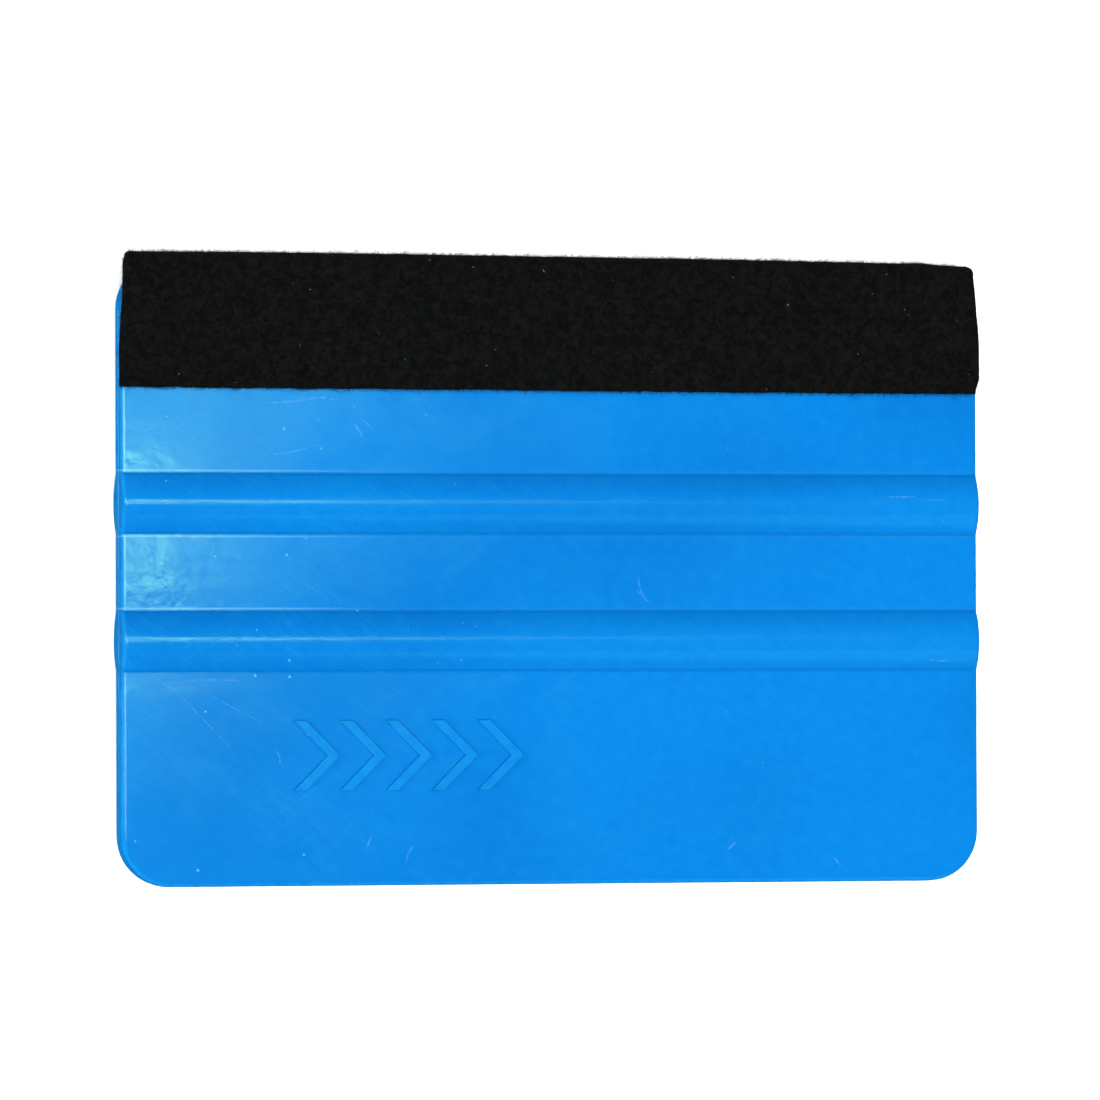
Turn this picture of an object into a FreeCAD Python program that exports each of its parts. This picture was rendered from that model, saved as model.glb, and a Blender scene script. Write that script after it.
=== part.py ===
import FreeCAD, Part

import math
import os

# Squeegee applicator: a moulded plastic blade with two finger ribs on each
# face, and a felt strip stuck round its upper working edge. Millimetres.
# It lies on its back ribs: X across the blade, +Y towards the felt edge,
# +Z up through the thickness, origin at the bottom centre of the whole.

# Blade
BLADE_WIDTH = 101.6
BLADE_DEPTH = 71.1
PANEL_THICKNESS = 3.2
CORNER_RADIUS = 5.8
EDGE_ROUNDING = 0.5

# Finger ribs, the same two on each face
RIB_WIDTH = 6.8
RIB_HEIGHT = 1.15
RIB_OFFSET = 7.8
CREASE_ROUNDING = 0.3

# Mould marks
PARTING_HEIGHT = 0.06
PARTING_WIDTH = 0.24
EJECTOR_RADIUS = 2.5
EJECTOR_DEPTH = 0.08
EJECTOR_X = 40.0
EJECTOR_Y = 25.0

# Raised stroke-direction mark on the lower front panel
CHEVRON_COUNT = 5
CHEVRON_HEIGHT = 8.0
CHEVRON_REACH = 4.0
CHEVRON_STROKE = 1.1
CHEVRON_PITCH = 5.4
CHEVRON_RAISE = 0.22
CHEVRON_ROUNDING = 0.12
MARK_X = -16.5
MARK_Y = -20.75

# Felt strip and the adhesive film under it
FELT_LENGTH = 101.2
FELT_THICKNESS = 0.75
FELT_LEG = 14.8
FELT_EDGE_ROUNDING = 0.2
FILM_LENGTH = 100.6
FILM_THICKNESS = 0.12
FILM_LEG = 14.5

COVER = FILM_THICKNESS + FELT_THICKNESS
HALF_PANEL = PANEL_THICKNESS / 2
MIDDLE_Z = HALF_PANEL + RIB_HEIGHT
CENTRE_Y = (PARTING_HEIGHT - COVER) / 2


def vector(x, y, z):
    return FreeCAD.Vector(x, y, z)


def rib_face(side):
    """Edges of one face's profile from -Y to +Y. side is 1 for the front and -1 for the back."""
    edges = []
    start = -BLADE_DEPTH / 2
    level = side * HALF_PANEL
    for centre in (-RIB_OFFSET, RIB_OFFSET):
        foot = vector(0, centre - RIB_WIDTH / 2, level)
        crest = vector(0, centre, level + side * RIB_HEIGHT)
        far_foot = vector(0, centre + RIB_WIDTH / 2, level)
        edges.append(Part.makeLine(vector(0, start, level), foot))
        edges.append(Part.Arc(foot, crest, far_foot).toShape())
        start = far_foot.y
    edges.append(Part.makeLine(vector(0, start, level), vector(0, BLADE_DEPTH / 2, level)))
    return edges


def ribbed_slab():
    """The blade's section drawn out along X, with its creases rounded."""
    ends = [
        Part.makeLine(vector(0, y, -HALF_PANEL), vector(0, y, HALF_PANEL))
        for y in (-BLADE_DEPTH / 2, BLADE_DEPTH / 2)
    ]
    outline = Part.Wire(Part.__sortEdges__(rib_face(1) + rib_face(-1) + ends))
    slab = Part.Face(outline).extrude(vector(BLADE_WIDTH, 0, 0))
    slab.translate(vector(-BLADE_WIDTH / 2, 0, 0))
    creases = [edge for edge in slab.Edges if is_crease(edge)]
    return slab.makeFillet(CREASE_ROUNDING, creases)


def is_crease(edge):
    """True for an edge along X where a rib rises from a panel."""
    first = edge.Vertexes[0].Point
    last = edge.Vertexes[-1].Point
    along_x = abs(first.y - last.y) < 1e-6 and abs(first.x - last.x) > 1
    return along_x and abs(first.y) < BLADE_DEPTH / 2 - 1


def card(inset, height):
    """A card with the blade's rounded corners, smaller all round by inset."""
    width = BLADE_WIDTH - 2 * inset
    depth = BLADE_DEPTH - 2 * inset
    box = Part.makeBox(width, depth, height, vector(-width / 2, -depth / 2, -height / 2))
    corners = [edge for edge in box.Edges if is_upright(edge)]
    return box.makeFillet(CORNER_RADIUS - inset, corners)


def is_upright(edge):
    first = edge.Vertexes[0].Point
    last = edge.Vertexes[-1].Point
    return abs(first.x - last.x) < 1e-6 and abs(first.y - last.y) < 1e-6


def on_rim(edge):
    """True for an edge where a face of the blade meets its side wall."""
    if is_upright(edge):
        return False
    middle = edge.valueAt((edge.FirstParameter + edge.LastParameter) / 2)
    half_width = BLADE_WIDTH / 2 - PARTING_HEIGHT
    half_depth = BLADE_DEPTH / 2 - PARTING_HEIGHT
    radius = CORNER_RADIUS - PARTING_HEIGHT
    out_x = max(abs(middle.x) - (half_width - radius), 0)
    out_y = max(abs(middle.y) - (half_depth - radius), 0)
    return math.hypot(out_x, out_y) > radius - 1e-3


def chevron(tip_x):
    """One raised chevron that points to +X, with its tip at tip_x."""
    half = CHEVRON_HEIGHT / 2
    slant = CHEVRON_STROKE * math.hypot(CHEVRON_REACH, half) / half
    corners = [
        (tip_x, 0),
        (tip_x - CHEVRON_REACH, half),
        (tip_x - CHEVRON_REACH - slant, half),
        (tip_x - slant, 0),
        (tip_x - CHEVRON_REACH - slant, -half),
        (tip_x - CHEVRON_REACH, -half),
    ]
    points = [vector(MARK_X + x, MARK_Y + y, HALF_PANEL) for x, y in corners]
    mark = Part.Face(Part.makePolygon(points + points[:1])).extrude(vector(0, 0, CHEVRON_RAISE))
    top = HALF_PANEL + CHEVRON_RAISE
    rims = [edge for edge in mark.Edges if all(abs(v.Point.z - top) < 1e-6 for v in edge.Vertexes)]
    return mark.makeFillet(CHEVRON_ROUNDING, rims)


def stroke_mark():
    """The row of chevrons, centred on the mark's place."""
    middle = (CHEVRON_COUNT - 1) / 2
    return [chevron((i - middle) * CHEVRON_PITCH + CHEVRON_REACH / 2) for i in range(CHEVRON_COUNT)]


def ejector_marks():
    """Shallow round cuts in the back, where the mould's pins pushed the blade out."""
    return [
        Part.makeCylinder(EJECTOR_RADIUS, EJECTOR_DEPTH * 2, vector(x, y, -HALF_PANEL - EJECTOR_DEPTH))
        for x in (-EJECTOR_X, 0, EJECTOR_X)
        for y in (-EJECTOR_Y, 0)
    ]


def squeegee_blade():
    """The one-piece moulded blade, with its ribs, parting line, ejector marks and raised mark."""
    tall = PANEL_THICKNESS + 2 * RIB_HEIGHT + 2
    body = ribbed_slab().common(card(PARTING_HEIGHT, tall))
    body = body.Solids[0]
    rim = [edge for edge in body.Edges if on_rim(edge)]
    body = body.makeFillet(EDGE_ROUNDING, rim)
    body = body.fuse([card(0, PARTING_WIDTH)] + stroke_mark())
    body = body.cut(ejector_marks())
    return body.removeSplitter()


def folded_strip(inner, thickness, length, leg):
    """A strip folded round the upper edge, its inner face at the gap inner from the blade all round."""
    reach = BLADE_DEPTH / 2
    depth = reach - PARTING_HEIGHT
    start = reach - leg

    def folded_sheet(gap):
        half = HALF_PANEL + gap
        top = depth + gap
        tall = 2 * half
        sheet = Part.makeBox(length, top - start, tall, vector(-length / 2, start, -half))
        folds = [edge for edge in sheet.Edges if all(abs(v.Point.y - top) < 1e-6 for v in edge.Vertexes)]
        folds = [edge for edge in folds if abs(edge.Vertexes[0].Point.x - edge.Vertexes[1].Point.x) > 1]
        return sheet.makeFillet(EDGE_ROUNDING + gap, folds)

    hollow = folded_sheet(inner)
    return folded_sheet(inner + thickness).cut(hollow).Solids[0]


def adhesive_film(blade):
    """The pressure-sensitive film between the felt and the blade."""
    film = folded_strip(0, FILM_THICKNESS, FILM_LENGTH, FILM_LEG)
    return film.cut(blade).Solids[0]


def felt_strip():
    """The felt, with its cut edges eased."""
    felt = folded_strip(FILM_THICKNESS, FELT_THICKNESS, FELT_LENGTH, FELT_LEG)
    outer = HALF_PANEL + COVER
    start = BLADE_DEPTH / 2 - FELT_LEG
    cut_edges = [
        edge
        for edge in felt.Edges
        if all(abs(abs(v.Point.z) - outer) < 1e-6 and abs(v.Point.y - start) < 1e-6 for v in edge.Vertexes)
    ]
    return felt.makeFillet(FELT_EDGE_ROUNDING, cut_edges)


def write(name, shape):
    """Puts a shape made about the blade's middle in the part's frame, and writes it."""
    placed = shape.copy()
    placed.translate(vector(0, CENTRE_Y, MIDDLE_Z))
    placed.exportStep(f"parts/{name}.step")
    box = placed.BoundBox
    print(name, placed.isValid(), len(placed.Solids), round(placed.Volume, 2), box)


os.makedirs("parts", exist_ok=True)
blade = squeegee_blade()
write("squeegee_blade", blade)
write("adhesive_film", adhesive_film(blade))
write("felt_strip", felt_strip())
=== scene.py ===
import math

import bmesh
import bpy
from mathutils import Matrix, Quaternion, Vector, noise


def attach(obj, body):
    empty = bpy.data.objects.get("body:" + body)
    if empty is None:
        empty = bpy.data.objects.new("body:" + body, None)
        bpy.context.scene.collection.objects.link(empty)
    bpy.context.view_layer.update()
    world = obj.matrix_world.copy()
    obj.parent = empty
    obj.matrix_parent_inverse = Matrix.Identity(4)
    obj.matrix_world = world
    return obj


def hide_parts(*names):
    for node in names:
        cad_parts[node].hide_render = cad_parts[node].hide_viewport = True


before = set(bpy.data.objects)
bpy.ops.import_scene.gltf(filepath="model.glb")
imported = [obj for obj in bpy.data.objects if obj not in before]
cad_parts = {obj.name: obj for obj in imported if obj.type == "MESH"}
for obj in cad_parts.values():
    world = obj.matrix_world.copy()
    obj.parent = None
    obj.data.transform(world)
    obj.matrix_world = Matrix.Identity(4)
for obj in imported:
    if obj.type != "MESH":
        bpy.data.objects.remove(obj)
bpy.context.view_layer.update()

# ---------------------------------------------------------------------------
# Blade: one card of tough blue plastic, injection moulded in a polished
# mould with its finger ribs, edge rounding and raised mark. Its shape is the
# CAD node's own. Use has left hairlines, hazy scuffs and dust on it.
# ---------------------------------------------------------------------------
MM = 0.001
BLADE_WIDTH = 101.6
BLADE_DEPTH = 71.1
BLADE_CENTRE_Y = -0.405
MIDDLE_Z = 2.75
HALF_PANEL = 1.6
RIB_HEIGHT = 1.15
RIB_OFFSET = 7.8
RIB_WIDTH = 6.8
CORNER_RADIUS = 5.8
CREASE_REACH = 0.32
LIP_WIDTH = 0.32
SINK_REACH = 3.0
WAVE_HEIGHT = 15e-6
PLASTIC_IOR = 1.49
PLASTIC_SPECULAR = 0.2

# single scratches on the front: start, end, bow and width
SCRATCHES = (
    ((-34.8, 18.8), (-26.4, 19.7), 0.25, 0.16),
    ((-30.5, 19.4), (-24.9, 19.1), -0.15, 0.12),
    ((-24.2, 19.3), (-22.7, 17.4), 0.05, 0.12),
    ((-23.7, 16.6), (-22.6, 14.9), -0.05, 0.18),
    ((-23.0, 17.2), (-21.1, 15.7), 0.0, 0.10),
    ((-35.0, 12.9), (-27.5, 14.3), 0.4, 0.08),
    ((10.0, -0.5), (11.3, -3.9), 0.5, 0.10),
    ((9.7, -2.4), (11.3, -3.9), 0.0, 0.12),
    ((21.5, -31.3), (20.4, -32.2), 0.0, 0.14),
    ((33.2, -33.0), (34.1, -34.2), 0.0, 0.14),
    ((-47.5, -11.9), (-44.2, -13.8), 0.1, 0.14),
    ((-45.9, -13.1), (-36.8, -12.7), -0.35, 0.16),
    ((-45.7, -12.4), (-37.6, -20.6), 0.1, 0.08),
    ((-41.5, -13.5), (-34.0, -17.5), 0.2, 0.07),
    ((-32.9, -20.5), (-32.4, -22.2), -0.2, 0.12),
    ((-16.6, -31.3), (-17.6, -33.5), 0.3, 0.12),
    ((-21.6, -30.2), (-22.3, -32.0), 0.1, 0.12),
    ((39.4, 8.3), (43.0, 8.4), 0.05, 0.14),
    ((44.2, 7.9), (46.5, 8.0), 0.0, 0.12),
    ((44.5, -10.4), (47.5, -10.6), 0.05, 0.12),
)
PLASTIC_DEEP = (0.0009, 0.0765, 0.262, 1)
PLASTIC_MAIN = (0.0011, 0.0925, 0.298, 1)
PLASTIC_WORN = (0.006, 0.165, 0.36, 1)
# pale dust and scratches, and the painted highlight along the upper panels' lips
PLASTIC_DUST_AND_HIGHLIGHT = (0.14, 0.30, 0.40, 1)
# painted shade for the rib creases, and the dark of pits
PLASTIC_CREASE_SHADE_AND_PITS = (0.0003, 0.062, 0.21, 1)
# hairlines: angle in degrees, length and width in millimetres, and the noise level they start at
HAIRLINE_KINDS = ((40, 5, 0.09, 0.60), (28, 8, 0.11, 0.62), (55, 4, 0.10, 0.62), (-30, 9, 0.10, 0.66))


def add_node(tree, kind, inputs=None, **settings):
    """A node with its settings, and with each input set to a value or fed by a socket."""
    made = tree.nodes.new(kind)
    for name, value in settings.items():
        setattr(made, name, value)
    for key, value in (inputs or {}).items():
        if isinstance(value, bpy.types.NodeSocket):
            tree.links.new(value, made.inputs[key])
        else:
            made.inputs[key].default_value = value
    return made


def number(tree, operation, first, second=0.0, third=0.0):
    """The result of a sum on two or three numbers or sockets."""
    made = add_node(tree, "ShaderNodeMath", {0: first, 1: second, 2: third}, operation=operation)
    return made.outputs[0]


def vector(tree, operation, first, second=None):
    """The result of a sum on two vectors or sockets."""
    inputs = {0: first} if second is None else {0: first, 1: second}
    return add_node(tree, "ShaderNodeVectorMath", inputs, operation=operation).outputs[0]


def ramp(tree, value, low, high, bottom=0.0, top=1.0):
    """A smooth step of value from bottom at low to top at high."""
    inputs = {"Value": value, "From Min": low, "From Max": high, "To Min": bottom, "To Max": top}
    return add_node(tree, "ShaderNodeMapRange", inputs, interpolation_type="SMOOTHSTEP").outputs[0]


def dot_product(tree, first, second):
    """The dot product of two vectors or sockets."""
    inputs = {0: first, 1: second}
    return add_node(tree, "ShaderNodeVectorMath", inputs, operation="DOT_PRODUCT").outputs["Value"]


def mixed(tree, share, first, second):
    """A colour between two."""
    made = add_node(tree, "ShaderNodeMix", {0: share, 6: first, 7: second}, data_type="RGBA")
    return made.outputs[2]


def overlaid(tree, colour, layers):
    """A colour with others laid over it in turn, each given as its mask, its strength and its colour."""
    for mask, strength, laid in layers:
        colour = mixed(tree, number(tree, "MULTIPLY", mask, strength), colour, laid)
    return colour


def summed(tree, total, parts):
    """A number with others added in turn, each given as its mask and its factor."""
    for mask, factor in parts:
        total = number(tree, "ADD", total, number(tree, "MULTIPLY", mask, factor))
    return total


def greatest(tree, masks):
    """The greatest of some masks."""
    found = masks[0]
    for mask in masks[1:]:
        found = number(tree, "MAXIMUM", found, mask)
    return found


def part_of(tree, position, axis):
    """One coordinate of a position."""
    return add_node(tree, "ShaderNodeSeparateXYZ", {0: position}).outputs[axis]


def cloud(tree, position, scale, detail=2.0, roughness=0.5, distortion=0.0):
    """Soft noise from 0 to 1, with scale waves to one unit of position."""
    inputs = {"Vector": position, "Scale": scale, "Detail": detail, "Roughness": roughness}
    made = add_node(tree, "ShaderNodeTexNoise", {**inputs, "Distortion": distortion})
    return made.outputs["Fac"]


def millimetres(tree):
    """The piece's own coordinates, in millimetres."""
    own = add_node(tree, "ShaderNodeTexCoord").outputs["Object"]
    return add_node(tree, "ShaderNodeVectorMath", {0: own, "Scale": 1000.0}, operation="SCALE").outputs[0]


def shader_group(name, inputs, outputs):
    """An empty node group, and the sockets of its two end nodes."""
    group = bpy.data.node_groups.new(name, "ShaderNodeTree")
    for label, kind, value in inputs:
        socket = group.interface.new_socket(label, in_out="INPUT", socket_type=kind)
        if value is not None:
            socket.default_value = value
    for label, kind in outputs:
        group.interface.new_socket(label, in_out="OUTPUT", socket_type=kind)
    return group, group.nodes.new("NodeGroupInput").outputs, group.nodes.new("NodeGroupOutput").inputs


def hairline_group():
    """Fine scratches that run roughly one way: long thin streaks of stretched noise, bent a little."""
    inputs = [
        ("Position", "NodeSocketVector", None),
        ("Angle", "NodeSocketFloat", 0.0),
        ("Length", "NodeSocketFloat", 14.0),
        ("Width", "NodeSocketFloat", 0.12),
        ("Threshold", "NodeSocketFloat", 0.68),
    ]
    group, given, out = shader_group("hairline_scratches", inputs, [("Mask", "NodeSocketFloat")])
    slow = {"Vector": given["Position"], "Scale": 0.06, "Detail": 1.0}
    bend = add_node(group, "ShaderNodeTexNoise", slow)
    moved = vector(group, "MULTIPLY", bend.outputs["Color"], (4, 4, 0))
    turned = add_node(
        group,
        "ShaderNodeVectorRotate",
        {"Vector": vector(group, "ADD", given["Position"], moved), "Angle": given["Angle"]},
        rotation_type="Z_AXIS",
    ).outputs[0]
    parts = add_node(group, "ShaderNodeSeparateXYZ", {0: turned}).outputs
    along = number(group, "DIVIDE", parts[0], given["Length"])
    aside = number(group, "DIVIDE", parts[1], given["Width"])
    spread = add_node(group, "ShaderNodeCombineXYZ", {0: along, 1: aside, 2: given["Angle"]}).outputs[0]
    streaks = add_node(group, "ShaderNodeTexNoise", {"Vector": spread, "Scale": 1.0, "Detail": 1.0})
    limit = number(group, "ADD", given["Threshold"], 0.05)
    mask = ramp(group, streaks.outputs["Fac"], given["Threshold"], limit)
    group.links.new(mask, out["Mask"])
    return group


def speck_group():
    """Scattered specks: a dot in some cells of a loose grid, each its own size."""
    inputs = [
        ("Position", "NodeSocketVector", None),
        ("Cells per mm", "NodeSocketFloat", 0.3),
        ("Size", "NodeSocketFloat", 0.1),
        ("Share", "NodeSocketFloat", 0.3),
    ]
    group, given, out = shader_group("specks", inputs, [("Mask", "NodeSocketFloat")])
    cells = add_node(
        group,
        "ShaderNodeTexVoronoi",
        {"Vector": given["Position"], "Scale": given["Cells per mm"], "Randomness": 1.0},
    ).outputs
    chance = add_node(group, "ShaderNodeSeparateColor", {0: cells["Color"]}).outputs
    chosen = number(group, "LESS_THAN", chance[0], given["Share"])
    scaled = number(group, "MULTIPLY", given["Size"], given["Cells per mm"])
    radius = number(group, "MULTIPLY", scaled, chance[1])
    edge = number(group, "MULTIPLY", radius, 0.5)
    dot = ramp(group, cells["Distance"], radius, edge)
    group.links.new(number(group, "MULTIPLY", dot, chosen), out["Mask"])
    return group


def scratch_group():
    """One scratch from a start to an end, with a bow, that thins towards both ends and skips in places."""
    inputs = [
        ("Position", "NodeSocketVector", None),
        ("Start", "NodeSocketVector", None),
        ("End", "NodeSocketVector", None),
        ("Bow", "NodeSocketFloat", 0.0),
        ("Width", "NodeSocketFloat", 0.1),
    ]
    group, given, out = shader_group("single_scratch", inputs, [("Mask", "NodeSocketFloat")])
    flat = vector(group, "MULTIPLY", given["Position"], (1, 1, 0))
    line = vector(group, "SUBTRACT", given["End"], given["Start"])
    reach = vector(group, "SUBTRACT", flat, given["Start"])
    covered = number(group, "DIVIDE", dot_product(group, reach, line), dot_product(group, line, line))
    share = add_node(group, "ShaderNodeClamp", {0: covered}).outputs[0]
    remaining = number(group, "SUBTRACT", 4.0, number(group, "MULTIPLY", share, 4.0))
    swell = number(group, "MULTIPLY", share, remaining)
    side = vector(group, "NORMALIZE", vector(group, "CROSS_PRODUCT", line, (0, 0, 1)))
    lift = number(group, "MULTIPLY", swell, given["Bow"])
    bowed = add_node(group, "ShaderNodeVectorMath", {0: side, "Scale": lift}, operation="SCALE").outputs[0]
    along = add_node(group, "ShaderNodeVectorMath", {0: line, "Scale": share}, operation="SCALE").outputs[0]
    nearest = vector(group, "ADD", along, bowed)
    gap = vector(group, "SUBTRACT", reach, nearest)
    distance = add_node(group, "ShaderNodeVectorMath", {0: gap}, operation="LENGTH").outputs["Value"]
    half = number(group, "MULTIPLY", given["Width"], number(group, "MULTIPLY_ADD", swell, 0.55, 0.2))
    mark = ramp(group, number(group, "DIVIDE", distance, half), 1.6, 0.5)
    skips = ramp(group, cloud(group, flat, 1.6, 1.0), 0.35, 0.6, 0.25, 1.0)
    shown = number(group, "MULTIPLY", number(group, "MULTIPLY", mark, skips), ramp(group, swell, 0.02, 0.3))
    group.links.new(shown, out["Mask"])
    return group


HAIRLINES = hairline_group()
SPECKS = speck_group()
SINGLE_SCRATCH = scratch_group()


def hairlines(tree, position, angle, length, width, threshold):
    """A mask of fine scratches at an angle in degrees."""
    inputs = {
        "Position": position,
        "Angle": math.radians(angle),
        "Length": length,
        "Width": width,
        "Threshold": threshold,
    }
    return add_node(tree, "ShaderNodeGroup", inputs, node_tree=HAIRLINES).outputs["Mask"]


def specks(tree, position, cells_per_mm, size, share):
    """A mask of scattered dots of up to size in millimetres."""
    inputs = {"Position": position, "Cells per mm": cells_per_mm, "Size": size, "Share": share}
    return add_node(tree, "ShaderNodeGroup", inputs, node_tree=SPECKS).outputs["Mask"]


def scratches(tree, position):
    """A mask of all the single scratches on the front."""
    masks = []
    for start, end, bow, width in SCRATCHES:
        inputs = {"Position": position, "Start": (*start, 0), "End": (*end, 0), "Bow": bow, "Width": width}
        masks.append(add_node(tree, "ShaderNodeGroup", inputs, node_tree=SINGLE_SCRATCH).outputs["Mask"])
    on_front = ramp(tree, part_of(tree, position, "Z"), MIDDLE_Z, MIDDLE_Z + 0.5)
    return number(tree, "MULTIPLY", greatest(tree, masks), on_front)


def new_material(name):
    """A new material, its node tree and the inputs of its Principled shader."""
    material = bpy.data.materials.new(name)
    material.use_nodes = True
    shader = next(n for n in material.node_tree.nodes if n.type == "BSDF_PRINCIPLED")
    return material, material.node_tree, shader.inputs


def rim_distance(tree, position):
    """How far inside the blade's outline a point is, below 0, in millimetres."""
    centred = vector(tree, "SUBTRACT", position, (0, BLADE_CENTRE_Y, 0))
    flat = vector(tree, "MULTIPLY", vector(tree, "ABSOLUTE", centred), (1, 1, 0))
    straight = (BLADE_WIDTH / 2 - CORNER_RADIUS, BLADE_DEPTH / 2 - CORNER_RADIUS, 0)
    past = vector(tree, "SUBTRACT", flat, straight)
    outside = vector(tree, "MAXIMUM", past, (0, 0, 0))
    length = add_node(tree, "ShaderNodeVectorMath", {0: outside}, operation="LENGTH").outputs["Value"]
    return number(tree, "SUBTRACT", length, CORNER_RADIUS)


def beyond_rib(tree, position):
    """How far outside the nearest rib's foot a point is, in millimetres."""
    up_blade = part_of(tree, position, "Y")
    from_middle = number(tree, "ABSOLUTE", number(tree, "SUBTRACT", up_blade, BLADE_CENTRE_Y))
    from_rib = number(tree, "ABSOLUTE", number(tree, "SUBTRACT", from_middle, RIB_OFFSET))
    return number(tree, "SUBTRACT", from_rib, RIB_WIDTH / 2)


def crease_shade_mask(tree, position):
    """The bottom of the crease on each side of each rib, where shade is painted into the colour."""
    return ramp(tree, number(tree, "ABSOLUTE", beyond_rib(tree, position)), CREASE_REACH, 0.05)


def lip_highlight_mask(tree, position):
    """The narrow lip of the upper panels where they turn into a crease, on all faces of the blade, where a
    highlight is painted into the colour.
    """
    from_lip = number(tree, "SUBTRACT", beyond_rib(tree, position), CREASE_REACH)
    lip = ramp(tree, number(tree, "ABSOLUTE", from_lip), LIP_WIDTH / 2, LIP_WIDTH / 8)
    return number(tree, "MULTIPLY", lip, ramp(tree, part_of(tree, position, "Y"), -10, -9))


def crest_mask(tree, position):
    """The top of each rib, where it rubs on the bench and the hand."""
    height = number(tree, "ABSOLUTE", number(tree, "SUBTRACT", part_of(tree, position, "Z"), MIDDLE_Z))
    return ramp(tree, height, HALF_PANEL + RIB_HEIGHT * 0.8, HALF_PANEL + RIB_HEIGHT)


def mark_mask(tree, position):
    """The tops of the raised mark's chevrons."""
    height = number(tree, "SUBTRACT", part_of(tree, position, "Z"), MIDDLE_Z + HALF_PANEL)
    below_ribs = ramp(tree, part_of(tree, position, "Y"), -14, -15)
    return number(tree, "MULTIPLY", ramp(tree, height, 0.08, 0.2), below_ribs)


def blade_material():
    """Glossy blue plastic, paler where it is worn, with hairlines, scratches, dust and a faint relief,
    painted shade in the rib creases and a painted highlight along the upper panels' lips.
    """
    material, tree, shader = new_material("moulded_blue_plastic")
    place = millimetres(tree)
    across = part_of(tree, place, "X")
    drift = cloud(tree, place, 0.035, 1.0)
    waves = cloud(tree, place, 0.11, 1.0)
    patches = cloud(tree, place, 0.09, 3.0, 0.55, 0.6)
    mottle = cloud(tree, place, 0.7, 3.0)
    speckle = cloud(tree, place, 1.5, 2.0, 0.6)
    grain = cloud(tree, place, 4.0, 2.0)

    # scuffs from handling lie mostly on the left and run mostly one way
    handled = ramp(tree, across, 10, -35, 0.35, 1.0)
    fine = greatest(tree, [hairlines(tree, place, *kind) for kind in HAIRLINE_KINDS])
    patchy = number(tree, "MULTIPLY_ADD", ramp(tree, patches, 0.40, 0.62), 0.6, 0.4)
    scuffed = number(tree, "MULTIPLY", number(tree, "MULTIPLY", fine, patchy), handled)
    scratched = scratches(tree, place)
    dusty = ramp(tree, across, 0, -40, 0.12, 1.0)
    dust = number(tree, "MULTIPLY", specks(tree, place, 0.5, 0.22, 0.5), dusty)
    pits = specks(tree, place, 0.55, 0.10, 0.12)
    marks = number(tree, "MAXIMUM", dust, scratched)

    rim = ramp(tree, rim_distance(tree, place), -0.5, -0.1)
    worn_rim = number(tree, "MULTIPLY", rim, ramp(tree, mottle, 0.3, 0.6, 0.4, 0.9))
    worn_crest = number(tree, "MULTIPLY", crest_mask(tree, place), ramp(tree, grain, 0.3, 0.8, 0.05, 0.3))
    worn_mark = number(tree, "MULTIPLY", mark_mask(tree, place), ramp(tree, mottle, 0.3, 0.6, 0.3, 0.5))
    # a highlight painted along the lips of the upper panels, strongest on the left
    painted_lip_highlight = number(tree, "MULTIPLY", lip_highlight_mask(tree, place), ramp(tree, across, -18, -42, 0.05, 1.0))
    worn = greatest(tree, [worn_rim, worn_crest, worn_mark])

    # mask, strength and colour, from the bottom up
    layers = (
        (ramp(tree, mottle, 0.3, 0.75), 0.10, PLASTIC_WORN),
        (ramp(tree, speckle, 0.3, 0.7), 0.28, PLASTIC_DEEP),
        # painted shade in the creases at the ribs' feet
        (crease_shade_mask(tree, place), 0.55, PLASTIC_CREASE_SHADE_AND_PITS),
        (worn, 0.45, PLASTIC_WORN),
        # painted highlight on the lips just above the creases
        (painted_lip_highlight, 0.3, PLASTIC_DUST_AND_HIGHLIGHT),
        (scuffed, 0.20, PLASTIC_WORN),
        (pits, 0.35, PLASTIC_CREASE_SHADE_AND_PITS),
        (scratched, 0.11, PLASTIC_DUST_AND_HIGHLIGHT),
        (dust, 0.5, PLASTIC_DUST_AND_HIGHLIGHT),
    )
    plain = mixed(tree, ramp(tree, drift, 0.3, 0.7), PLASTIC_DEEP, PLASTIC_MAIN)
    gloss = ramp(tree, patches, 0.4, 0.65, 0.085, 0.11)
    rough = summed(tree, gloss, ((scuffed, 0.05), (marks, 0.3), (worn_crest, 0.12)))

    # the mould's slight waves, the sink beside each rib and the marks of use: mask and height in metres
    sunk = ramp(tree, beyond_rib(tree, place), 0.0, SINK_REACH, 1.0, 0.0)
    relief = (
        (waves, WAVE_HEIGHT),
        (mottle, 6e-6),
        (grain, 0.9e-6),
        (speckle, 3.6e-6),
        (sunk, -9e-6),
        (scuffed, -1.5e-6),
        (scratched, -3.0e-6),
        (dust, 10e-6),
    )
    height = summed(tree, 0.0, relief)
    bump = add_node(tree, "ShaderNodeBump", {"Height": height, "Strength": 1.0, "Distance": 1.0})

    tree.links.new(overlaid(tree, plain, layers), shader["Base Color"])
    tree.links.new(rough, shader["Roughness"])
    tree.links.new(bump.outputs[0], shader["Normal"])
    shader["IOR"].default_value = PLASTIC_IOR
    shader["Specular IOR Level"].default_value = PLASTIC_SPECULAR
    return material


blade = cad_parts["squeegee_blade"]
blade.data.materials[0] = blade_material()

# ---------------------------------------------------------------------------
# Adhesive film: clear pressure-sensitive acrylic on the felt's inner side,
# folded with it over the blade's upper edge. It can be seen only at its cut
# ends and past the blade's rounded corners, where the fold stands hollow.
# ---------------------------------------------------------------------------
FILM_THICKNESS = 0.12
FILM_CLEARANCE = 0.01
FILM_COLUMNS = 110
FILM_INSET = 0.35
BLADE_TOP = 35.49
BLADE_EDGE_ROUNDING = 0.5
LEG_ROWS = 58
BEND_ROWS = 8
FOLD_ROWS = 9
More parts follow.
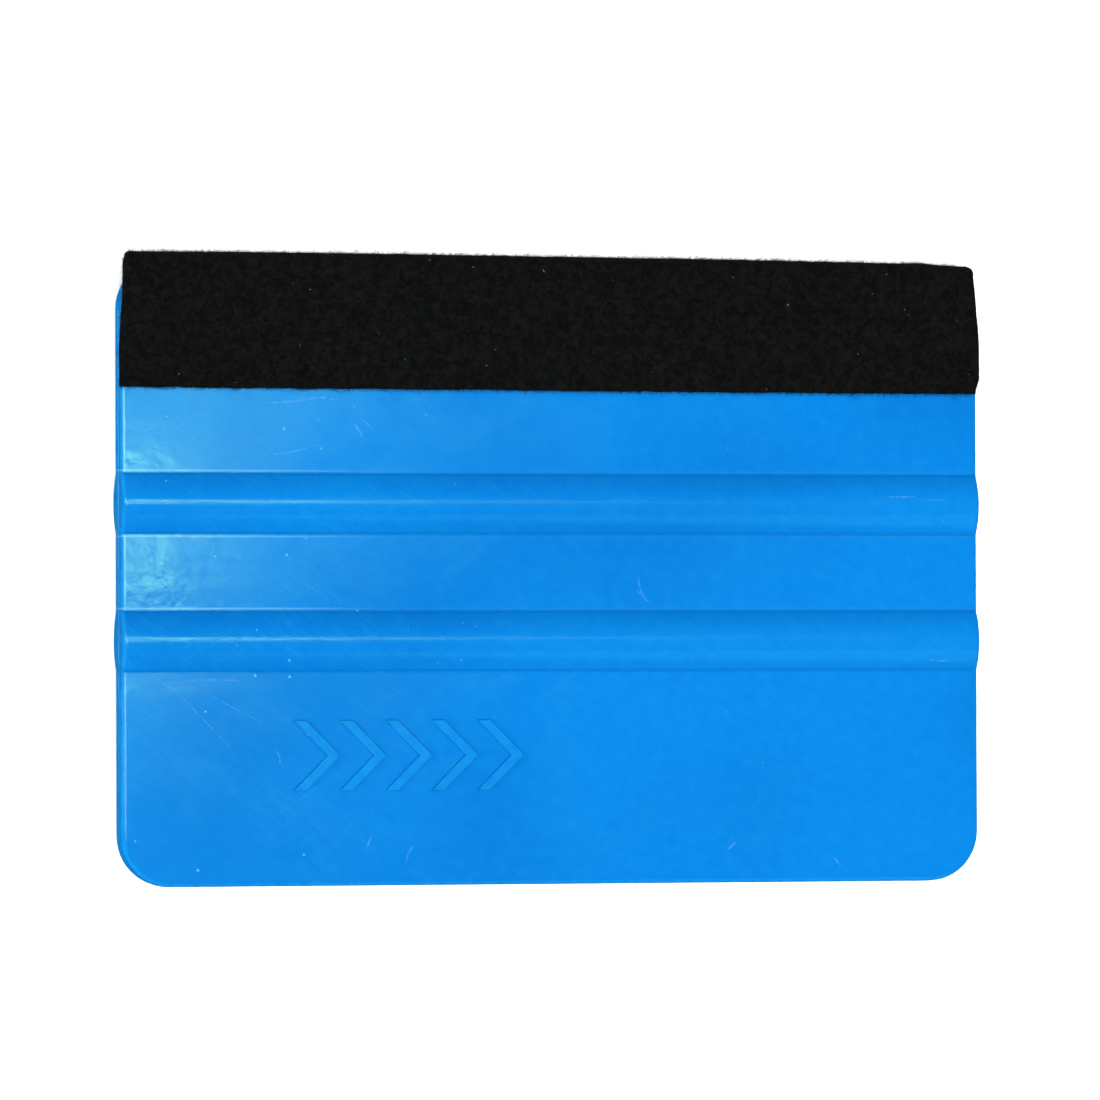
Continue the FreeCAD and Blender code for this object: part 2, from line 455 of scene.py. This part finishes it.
# where the felt's folded top and its front cut edge lie along the blade: (x, y)
FOLD_TOPS = (
    (-51, 36.22),
    (-49, 36.28),
    (-35, 36.30),
    (-18, 36.24),
    (2, 36.09),
    (18, 36.01),
    (36, 35.80),
    (44, 35.62),
    (48, 35.48),
    (51, 35.36),
)
FRONT_EDGES = (
    (-51, 20.92),
    (-49, 20.92),
    (-36, 20.83),
    (-18, 20.82),
    (-1, 20.75),
    (17, 20.68),
    (35, 20.67),
    (51, 20.64),
)
BACK_EDGE = 20.75
# each cut end at the fold: x in front and its slant down the leg, x behind and its slant, and the tuck
LEFT_CUT = (-50.45, -0.55, -49.3, 0.3, 0.28)
RIGHT_CUT = (50.3, 0.6, 50.0, -0.3, -0.3)
RIGHT_CORNER_CUT = 0.45
THINNEST_FOLD = 0.12
CORNER_PINCH = 0.2
ADHESIVE_CLEAN = (0.50, 0.45, 0.35, 1)
ADHESIVE_GRIMY = (0.16, 0.13, 0.10, 1)
ADHESIVE_LINT = (0.02, 0.02, 0.02, 1)


def smooth(low, high, value):
    """A smooth step from 0 at low to 1 at high."""
    share = min(max((value - low) / (high - low), 0), 1)
    return share * share * (3 - 2 * share)


def rough_noise(x, y, z, size):
    """Noise from about -1 to 1, with waves about size millimetres long."""
    return noise.noise(Vector((x / size, y / size, z / size)))


def along_blade(places, x):
    """The y at x of a line through places."""
    for (x0, y0), (x1, y1) in zip(places, places[1:]):
        if x <= x1:
            return y0 + (y1 - y0) * min(max((x - x0) / (x1 - x0), 0), 1)
    return places[-1][1]


def strip_end(side, y, z, out_y):
    """Where the strip's cut end is along X, on the left (side -1) or right (side 1).

    The cut slants out down the front leg, and in behind.
    """
    down = smooth(35.5, 24.5, y)
    behind = smooth(1.5, -1.5, z)
    wobble = 0.07 * rough_noise(side * 9, y, z, 2.5) + 0.035 * rough_noise(side * 5, y, z, 0.7)
    front_x, front_slant, back_x, back_slant, tuck = LEFT_CUT if side < 0 else RIGHT_CUT
    front = front_x + front_slant * down
    back = back_x + back_slant * down
    if side > 0:
        front -= RIGHT_CORNER_CUT * smooth(22.6, 20.7, y)
    return front + (back - front) * behind + tuck * out_y**2 + wobble


def fold_path(gap):
    """A section gap outside the blade, from the front leg's cut edge round to the back leg's.

    Each place on it is (share down the leg, y, z, outward y, outward z).
    """
    radius = BLADE_EDGE_ROUNDING + gap
    face, top = HALF_PANEL + gap, BLADE_TOP + gap
    legs = [(1 - row / LEG_ROWS, top - radius, face, 0.0, 1.0) for row in range(LEG_ROWS)]
    bend = []
    for row in range(BEND_ROWS + 1):
        turn = math.pi / 2 * row / BEND_ROWS
        out_y, out_z = math.sin(turn), math.cos(turn)
        bend.append((0.0, top - radius + radius * out_y, face - radius + radius * out_z, out_y, out_z))
    half = legs + bend
    across = [1 - 2 * row / FOLD_ROWS for row in range(1, FOLD_ROWS)]
    flat = [(0.0, top, (face - radius) * share, 1.0, 0.0) for share in across]
    return half + flat + [(down, y, -z, out_y, -out_z) for down, y, z, out_y, out_z in reversed(half)]


def corner_top(x):
    """The blade's upper outline at x, which falls away round its corners."""
    past = min(max(abs(x) - (BLADE_WIDTH / 2 - CORNER_RADIUS), 0), CORNER_RADIUS)
    return BLADE_DEPTH / 2 - CORNER_RADIUS + math.sqrt(CORNER_RADIUS**2 - past**2)


def folded_sheet(name, gap, columns, inset, depth_at):
    """A closed sheet folded round the blade, gap outside it and inset from the felt's cuts.

    depth_at gives how far its inner (0) or outer (1) layer stands out at a place.
    """
    path = fold_path(gap)
    points = []
    for layer in (0, 1):
        for down, path_y, path_z, out_y, out_z in path:
            for column in range(columns + 1):
                share = column / columns
                edge = 0.0
                y, z = path_y, path_z
                if down:
                    x = -50 + 100 * share
                    cut = along_blade(FRONT_EDGES, x) if z > 0 else BACK_EDGE
                    cut += 0.07 * rough_noise(x, z, 3, 3.1) + 0.05 * rough_noise(x, z, 7, 0.8)
                    y = path_y + (cut + inset - path_y) * down
                    edge = y - cut - inset
                else:
                    edge = path_y - BACK_EDGE
                left = strip_end(-1, y, z, out_y) + inset
                right = strip_end(1, y, z, out_y) - inset
                x = left + (right - left) * share
                spare = along_blade(FOLD_TOPS, x) - BLADE_TOP - FILM_THICKNESS
                sunk = max(THINNEST_FOLD - spare, 0) * smooth(44, 46.5, x) * smooth(31, 35, y)
                pinch = 1 - CORNER_PINCH * smooth(0.2, 3.2, y - corner_top(x))
                depth = depth_at(layer, x, y, z, min(edge, x - left, right - x), out_y, spare)
                at = (x, y - sunk + out_y * depth + BLADE_CENTRE_Y, z * pinch + out_z * depth + MIDDLE_Z)
                points.append(Vector(at) * MM)
    rows, wide = len(path), columns + 1

    def corner(layer, row, column):
        return (layer * rows + row) * wide + column

    faces = []
    for row in range(rows - 1):
        for column in range(columns):
            ring = [(row, column), (row, column + 1), (row + 1, column + 1), (row + 1, column)]
            faces.append([corner(1, *at) for at in ring])
            faces.append([corner(0, *at) for at in reversed(ring)])
        for column in (0, columns):
            ends = [(0, row), (0, row + 1), (1, row + 1), (1, row)]
            faces.append([corner(layer, at, column) for layer, at in ends])
    for row in (0, rows - 1):
        for column in range(columns):
            ends = [(0, column), (0, column + 1), (1, column + 1), (1, column)]
            faces.append([corner(layer, row, at) for layer, at in ends])
    mesh = bpy.data.meshes.new(name)
    mesh.from_pydata(points, [], faces)
    closed = bmesh.new()
    closed.from_mesh(mesh)
    bmesh.ops.recalc_face_normals(closed, faces=closed.faces)
    closed.to_mesh(mesh)
    closed.free()
    mesh.polygons.foreach_set("use_smooth", [True] * len(mesh.polygons))
    return mesh


def film_material():
    """Clear film gone grimy, with bits of felt stuck to it."""
    material, tree, shader = new_material("clear_adhesive_film")
    place = millimetres(tree)
    grime = ramp(tree, cloud(tree, place, 0.8, 4.0), 0.4, 0.7)
    lint = specks(tree, place, 1.4, 0.22, 0.5)
    colour = mixed(tree, grime, ADHESIVE_CLEAN, ADHESIVE_GRIMY)
    colour = mixed(tree, lint, colour, ADHESIVE_LINT)
    ripple = number(tree, "MULTIPLY", cloud(tree, place, 1.6, 3.0), 20e-6)
    bump = add_node(tree, "ShaderNodeBump", {"Height": ripple, "Strength": 1.0, "Distance": 1.0})
    tree.links.new(colour, shader["Base Color"])
    tree.links.new(number(tree, "MULTIPLY_ADD", grime, 0.3, 0.35), shader["Roughness"])
    tree.links.new(bump.outputs[0], shader["Normal"])
    return material


def film_depth(layer, *place):
    """The film has an even thickness, a hair less than the gap that the felt leaves for it."""
    return (FILM_THICKNESS - FILM_CLEARANCE) * layer


def add_piece(name, mesh, material=None):
    """A piece whose place is in its mesh, moving with the blade."""
    piece = bpy.data.objects.new(name, mesh)
    bpy.context.scene.collection.objects.link(piece)
    if material:
        mesh.materials.append(material)
    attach(piece, "root")
    return piece


film_mesh = folded_sheet("adhesive_tape", 0.0, FILM_COLUMNS, FILM_INSET, film_depth)
film = add_piece("adhesive_tape", film_mesh, film_material())
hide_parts("adhesive_film")

# ---------------------------------------------------------------------------
# Felt strip: black needled synthetic felt, cut as a straight strip, folded
# lengthwise over the blade's upper edge and pressed down on both faces. Past
# the blade's rounded corners nothing backs the fold, so it sinks there.
# ---------------------------------------------------------------------------
FELT_THICKNESS = 0.75
FELT_COLUMNS = 330
FELT_EDGE_ROUNDING = 0.35
FELT_CLEARANCE = 0.012
THINNEST_FELT = 0.08
# the needled relief, in millimetres: height, wave length and a shift that sets the waves apart
FELT_RELIEF = ((0.045, 1.3, 0), (0.03, 0.6, 40), (0.03, 7, 90))
FELT_SPECULAR = 0.04
FELT_SHEEN = 0.006
FELT_SHEEN_ROUGHNESS = 0.45
FELT_BLACK = (0.0010, 0.0011, 0.0011, 1)
FELT_GREY = (0.0034, 0.0030, 0.0035, 1)
FELT_LINT = (0.07, 0.07, 0.07, 1)


def felt_depth(layer, x, y, z, from_cut, out_y, spare):
    """The felt's thickness with its needled relief, less where the fold is pressed and at the cuts."""
    if not layer:
        return FELT_CLEARANCE
    relief = sum(height * rough_noise(x, y, z + shift, size) for height, size, shift in FELT_RELIEF)
    rounded = math.sqrt(max(1 - (1 - min(max(from_cut, 0) / FELT_EDGE_ROUNDING, 1)) ** 2, 0))
    relief += 0.07 * rough_noise(x, 0, 50, 1.1) * out_y
    full = FELT_THICKNESS + (max(spare, THINNEST_FOLD) - FELT_THICKNESS) * out_y
    return max(full + relief * (1 - 0.4 * out_y), THINNEST_FELT) * (0.62 + 0.38 * rounded)


def felt_material():
    """Dull black felt with matted tufts, fine fibres and a little lint pressed into it."""
    material, tree, shader = new_material("black_needled_felt")
    place = millimetres(tree)
    tufts = cloud(tree, place, 1.1, 5.0, 0.65, 0.8)
    fibres = cloud(tree, vector(tree, "MULTIPLY", place, (1.0, 2.6, 2.6)), 4.5, 4.0, 0.7, 1.5)
    lint = specks(tree, place, 0.45, 0.14, 0.10)
    colour = mixed(tree, ramp(tree, tufts, 0.35, 0.72), FELT_BLACK, FELT_GREY)
    colour = mixed(tree, number(tree, "MULTIPLY", ramp(tree, fibres, 0.55, 0.8), 0.6), colour, FELT_GREY)
    colour = mixed(tree, number(tree, "MULTIPLY", lint, 0.5), colour, FELT_LINT)
    height = number(tree, "MULTIPLY", tufts, 60e-6)
    height = number(tree, "ADD", height, number(tree, "MULTIPLY", fibres, 40e-6))
    bump = add_node(tree, "ShaderNodeBump", {"Height": height, "Strength": 1.0, "Distance": 1.0})
    tree.links.new(colour, shader["Base Color"])
    tree.links.new(ramp(tree, fibres, 0.3, 0.7, 0.95, 0.8), shader["Roughness"])
    tree.links.new(bump.outputs[0], shader["Normal"])
    shader["Specular IOR Level"].default_value = FELT_SPECULAR
    shader["Sheen Weight"].default_value = FELT_SHEEN
    shader["Sheen Roughness"].default_value = FELT_SHEEN_ROUGHNESS
    return material


felt_mesh = folded_sheet("felt_strip_cloth", FILM_THICKNESS, FELT_COLUMNS, 0.0, felt_depth)
felt = add_piece("felt_strip_cloth", felt_mesh, felt_material())
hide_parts("felt_strip")

# ---------------------------------------------------------------------------
# Felt nap: loose fibres of the same felt. Longer ones lie on its faces, short
# ones stand out of its fold and cut edges, and a little pale lint sticks to
# it.
# ---------------------------------------------------------------------------
NAP_PER_SQUARE_MM = 1.6
FRINGE_PER_SQUARE_MM = 24
LINT_PER_SQUARE_MM = 0.012
# bent fibres of about unit length: start, middle and end
FIBRE_SHAPES = (
    ((0, 0, -0.12), (0.05, 0.0, 0.55), (0.42, 0.10, 0.86)),
    ((0, 0, -0.12), (-0.28, 0.1, 0.50), (0.12, 0.30, 0.92)),
    ((0, 0, -0.12), (0.22, -0.25, 0.32), (-0.20, -0.15, 0.78)),
)
FIBRE_STEPS = 3
NAP_BLACK = (0.0018, 0.0020, 0.0022, 1)
NAP_GREY = (0.0060, 0.0064, 0.0070, 1)
LINT_PALE = (0.08, 0.08, 0.085, 1)
LINT_DARK = (0.03, 0.03, 0.032, 1)
FLOOR_GAP = 0.03
FIBRE_SPECULAR = 0.05
FOLD_SHARE = 0.5


def mark_fibre_places(mesh):
    """Shares stored on the felt: the nap grows on its outer faces, the fringe at its cuts and its fold."""
    nap = mesh.attributes.new("nap", "FLOAT", "POINT")
    fringe = mesh.attributes.new("fringe", "FLOAT", "POINT")
    rows, wide = len(fold_path(0)), FELT_COLUMNS + 1
    size = rows * wide
    for index, point in enumerate(mesh.vertices):
        row, column = divmod(index % size, wide)
        outer = index >= size
        near_cut = row in (0, rows - 1) or column in (0, FELT_COLUMNS)
        fold = abs(row - (rows - 1) / 2) < FOLD_ROWS / 2
        nap.data[index].value = 1.0 if outer else 0.0
        fringe.data[index].value = 1.0 if near_cut else FOLD_SHARE * (outer and fold)


def fibre_tree():
    """Geometry Nodes that scatter bent fibres over a mesh, by a share stored on it."""
    tree = bpy.data.node_groups.new("scattered_fibres", "GeometryNodeTree")
    sockets = [
        ("Geometry", "NodeSocketGeometry", None),
        ("Place", "NodeSocketString", "nap"),
        ("Fibres per square metre", "NodeSocketFloat", 1e6),
        ("Shortest", "NodeSocketFloat", 0.0004),
        ("Longest", "NodeSocketFloat", 0.0009),
        ("Slimness", "NodeSocketFloat", 0.02),
        ("Least lean", "NodeSocketFloat", 1.0),
        ("Most lean", "NodeSocketFloat", 1.5),
        ("Seed", "NodeSocketInt", 1),
        ("Material", "NodeSocketMaterial", None),
    ]
    for label, kind, value in sockets:
        socket = tree.interface.new_socket(label, in_out="INPUT", socket_type=kind)
        if value is not None:
            socket.default_value = value
    tree.interface.new_socket("Geometry", in_out="OUTPUT", socket_type="NodeSocketGeometry")
    given = tree.nodes.new("NodeGroupInput").outputs
    out = tree.nodes.new("NodeGroupOutput").inputs

    round_fibre = {"Resolution": 3, "Radius": given["Slimness"]}
    ring = add_node(tree, "GeometryNodeCurvePrimitiveCircle", round_fibre)
    kinds = tree.nodes.new("GeometryNodeJoinGeometry")
    for start, middle, end in FIBRE_SHAPES:
        line = add_node(
            tree,
            "GeometryNodeCurveQuadraticBezier",
            {"Resolution": FIBRE_STEPS, "Start": start, "Middle": middle, "End": end},
        )
        solid = add_node(
            tree,
            "GeometryNodeCurveToMesh",
            {"Curve": line.outputs[0], "Profile Curve": ring.outputs[0], "Fill Caps": True},
        )
        single = add_node(tree, "GeometryNodeGeometryToInstance", {0: solid.outputs[0]})
        tree.links.new(single.outputs[0], kinds.inputs[0])

    share = add_node(tree, "GeometryNodeInputNamedAttribute", {"Name": given["Place"]}, data_type="FLOAT")
    density = number(tree, "MULTIPLY", share.outputs[0], given["Fibres per square metre"])
    scatter = add_node(
        tree,
        "GeometryNodeDistributePointsOnFaces",
        {"Mesh": given["Geometry"], "Density": density, "Seed": given["Seed"]},
    )

    def chance(low, high, step, kind="FLOAT"):
        seed = number(tree, "ADD", given["Seed"], step)
        made = tree.nodes.new("FunctionNodeRandomValue")
        made.data_type = kind
        ports = [port for port in made.inputs if port.enabled and port.name in ("Min", "Max")]
        for port, value in zip(ports, (low, high)):
            if isinstance(value, bpy.types.NodeSocket):
                tree.links.new(value, port)
            else:
                port.default_value = value
        tree.links.new(seed, made.inputs["Seed"])
        return next(port for port in made.outputs if port.enabled)

    lean = chance(given["Least lean"], given["Most lean"], 10)
    spin = chance(0.0, 2 * math.pi, 20)
    tilt = add_node(tree, "ShaderNodeCombineXYZ", {0: lean, 1: 0.0, 2: spin})
    turned = add_node(
        tree,
        "FunctionNodeRotateRotation",
        {0: scatter.outputs["Rotation"], 1: tilt.outputs[0]},
        rotation_space="LOCAL",
    )
    placed = add_node(
        tree,
        "GeometryNodeInstanceOnPoints",
        {
            "Points": scatter.outputs["Points"],
            "Instance": kinds.outputs[0],
            "Pick Instance": True,
            "Instance Index": chance(0, len(FIBRE_SHAPES) - 1, 30, "INT"),
            "Rotation": turned.outputs[0],
            "Scale": chance(given["Shortest"], given["Longest"], 40),
        },
    )
    solid = add_node(tree, "GeometryNodeRealizeInstances", {0: placed.outputs[0]})
    inputs = {"Geometry": solid.outputs[0], "Material": given["Material"]}
    finished = add_node(tree, "GeometryNodeSetMaterial", inputs)
    tree.links.new(finished.outputs[0], out[0])
    return tree


def scattered(name, tree, values):
    """A plain mesh of fibres scattered over the felt with these inputs of the tree."""
    carrier = bpy.data.objects.new(name + "_carrier", felt_mesh)
    bpy.context.scene.collection.objects.link(carrier)
    modifier = carrier.modifiers.new("fibres", "NODES")
    modifier.node_group = tree
    for item in tree.interface.items_tree:
        if item.in_out == "INPUT" and item.name in values:
            modifier[item.identifier] = values[item.name]
    bpy.context.view_layer.update()
    done = carrier.evaluated_get(bpy.context.evaluated_depsgraph_get())
    mesh = bpy.data.meshes.new_from_object(done)
    mesh.name = name
    carrier.modifiers.remove(modifier)
    bpy.data.objects.remove(carrier)
    for point in mesh.vertices:
        point.co.z = max(point.co.z, FLOOR_GAP * MM)
    return mesh


def fibre_material(name, dark, light, sheen):
    """Dull fibre whose tone varies between dark and light."""
    material, tree, shader = new_material(name)
    place = millimetres(tree)
    tone = cloud(tree, place, 2.5, 2.0)
    tree.links.new(mixed(tree, ramp(tree, tone, 0.35, 0.65), dark, light), shader["Base Color"])
    tree.links.new(ramp(tree, tone, 0.3, 0.7, 0.7, 0.9), shader["Roughness"])
    shader["Specular IOR Level"].default_value = FIBRE_SPECULAR
    shader["Sheen Weight"].default_value = sheen
    return material


mark_fibre_places(felt_mesh)
fibres = fibre_tree()
loose_black = fibre_material("loose_black_fibre", NAP_BLACK, NAP_GREY, 0.006)
pale_lint = fibre_material("pale_lint", LINT_DARK, LINT_PALE, 0.02)
nap_mesh = scattered(
    "felt_nap",
    fibres,
    {
        "Place": "nap",
        "Fibres per square metre": NAP_PER_SQUARE_MM * 1e6,
        "Shortest": 0.45 * MM,
        "Longest": 1.0 * MM,
        "Slimness": 0.022,
        "Least lean": 1.15,
        "Most lean": 1.5,
        "Seed": 4,
        "Material": loose_black,
    },
)
fringe_mesh = scattered(
    "felt_fringe",
    fibres,
    {
        "Place": "fringe",
        "Fibres per square metre": FRINGE_PER_SQUARE_MM * 1e6,
        "Shortest": 0.12 * MM,
        "Longest": 0.42 * MM,
        "Slimness": 0.05,
        "Least lean": 0.3,
        "Most lean": 1.35,
        "Seed": 9,
        "Material": loose_black,
    },
)
lint_mesh = scattered(
    "felt_lint",
    fibres,
    {
        "Place": "nap",
        "Fibres per square metre": LINT_PER_SQUARE_MM * 1e6,
        "Shortest": 0.12 * MM,
        "Longest": 0.3 * MM,
        "Slimness": 0.18,
        "Least lean": 1.1,
        "Most lean": 1.5,
        "Seed": 21,
        "Material": pale_lint,
    },
)
on_felt = [add_piece(mesh.name, mesh) for mesh in (nap_mesh, fringe_mesh, lint_mesh)]

# ---------------------------------------------------------------------------
# Bench and light: a plain pale bench top. Two wide soft lights and a smaller
# one at the left light the part but don't show as reflections. Five lamps show
# only as glare. The camera is high over the blade and a little to its left.
# ---------------------------------------------------------------------------
BENCH_SIZE = 6.0
BENCH_COLOUR = (0.88, 0.88, 0.88, 1)
BENCH_TINT = (0.86, 0.865, 0.87, 1)
# lights: name, place, width and depth in metres, and watts
SOFT_LIGHTS = (
    ("window_below", (0.1, -0.75, 1.3), 1.8, 1.2, 47),
    ("ceiling", (0.1, 0.5, 1.6), 2.4, 1.6, 51),
    ("side_left", (-1.4, 0.0, 0.35), 0.8, 0.5, 24),
)
# glare lamps: the same, then their colour and shape
GLARE_LAMPS = (
    ("lamp_overhead", (0.188, 0.022, 1.05), 0.04, 0.04, 0.24, (0.36, 1.0, 0.28), "ELLIPSE"),
    ("lamp_strip", (0.205, 0.125, 1.05), 0.13, 0.045, 0.55, (0.36, 1.0, 0.3), "ELLIPSE"),
    ("lamp_strip_far", (0.285, 0.135, 1.05), 0.12, 0.09, 0.06, (0.34, 1.0, 0.3), "ELLIPSE"),
    ("lamp_right", (0.55, -0.8, 0.8), 0.35, 1.0, 2.2, (0.12, 1.0, 0.4), "RECTANGLE"),
    ("panel_left", (-0.60, 0.08, 1.04), 0.13, 1.5, 23, (0.5, 1.0, 0.75), "RECTANGLE"),
)
SKY_COLOUR = (0.9, 0.95, 1.0, 1)
SKY_STRENGTH = 0.15
CAMERA_PLACE = Vector((-0.29689, -0.01526, 1.05377))
CAMERA_AIM = Vector((-0.0001, 0.0022, 0.00275))
CAMERA_ROLL = -0.19
CAMERA_LENS = 312.8
CAMERA_SENSOR_WIDTH = 36
CAMERA_NEAREST = 0.01


def bench():
    """A flat pale top, with a faint drift in its tone."""
    mesh = bpy.data.meshes.new("bench_top")
    half = BENCH_SIZE / 2
    corners = [(-half, -half, 0), (half, -half, 0), (half, half, 0), (-half, half, 0)]
    mesh.from_pydata(corners, [], [(0, 1, 2, 3)])
    material, tree, shader = new_material("pale_bench_paint")
    place = add_node(tree, "ShaderNodeTexCoord").outputs["Object"]
    tone = cloud(tree, place, 8.0, 3.0)
    tree.links.new(mixed(tree, tone, BENCH_COLOUR, BENCH_TINT), shader["Base Color"])
    shader["Roughness"].default_value = 0.9
    shader["Specular IOR Level"].default_value = 0.1
    mesh.materials.append(material)
    made = bpy.data.objects.new("bench_top", mesh)
    bpy.context.scene.collection.objects.link(made)
    return made


def soft_light(name, place, width, depth, watts, colour=(1, 1, 1), shape="RECTANGLE"):
    """A flat light that faces the blade."""
    data = bpy.data.lights.new(name, "AREA")
    data.shape = shape
    data.size, data.size_y = width, depth
    data.energy = watts
    data.color = colour
    light = bpy.data.objects.new(name, data)
    light.location = place
    light.rotation_euler = (CAMERA_AIM - Vector(place)).to_track_quat("-Z", "Y").to_euler()
    bpy.context.scene.collection.objects.link(light)
    return light


top = bench()
top.visible_glossy = False
for values in SOFT_LIGHTS:
    broad = soft_light(*values)
    broad.visible_glossy = False
    broad.data.cycles.use_multiple_importance_sampling = False
for values in GLARE_LAMPS:
    soft_light(*values).visible_diffuse = False

world = bpy.data.worlds.new("studio")
world.use_nodes = True
sky = world.node_tree.nodes["Background"].inputs
sky["Color"].default_value = SKY_COLOUR
sky["Strength"].default_value = SKY_STRENGTH
bpy.context.scene.world = world
world.cycles_visibility.glossy = False
bpy.context.scene.view_settings.view_transform = "Standard"

back = (CAMERA_PLACE - CAMERA_AIM).normalized()
right = Vector((0, 1, 0)).cross(back).normalized()
upright = back.cross(right)
turn = Quaternion(back, math.radians(CAMERA_ROLL))
right, upright = turn @ right, turn @ upright
camera_data = bpy.data.cameras.new("camera")
camera_data.lens = CAMERA_LENS
camera_data.sensor_width = CAMERA_SENSOR_WIDTH
camera_data.clip_start = CAMERA_NEAREST
camera = bpy.data.objects.new("camera", camera_data)
bpy.context.scene.collection.objects.link(camera)
facing = Matrix((right, upright, back)).transposed()
camera.matrix_world = Matrix.Translation(CAMERA_PLACE) @ facing.to_4x4()
bpy.context.scene.camera = camera
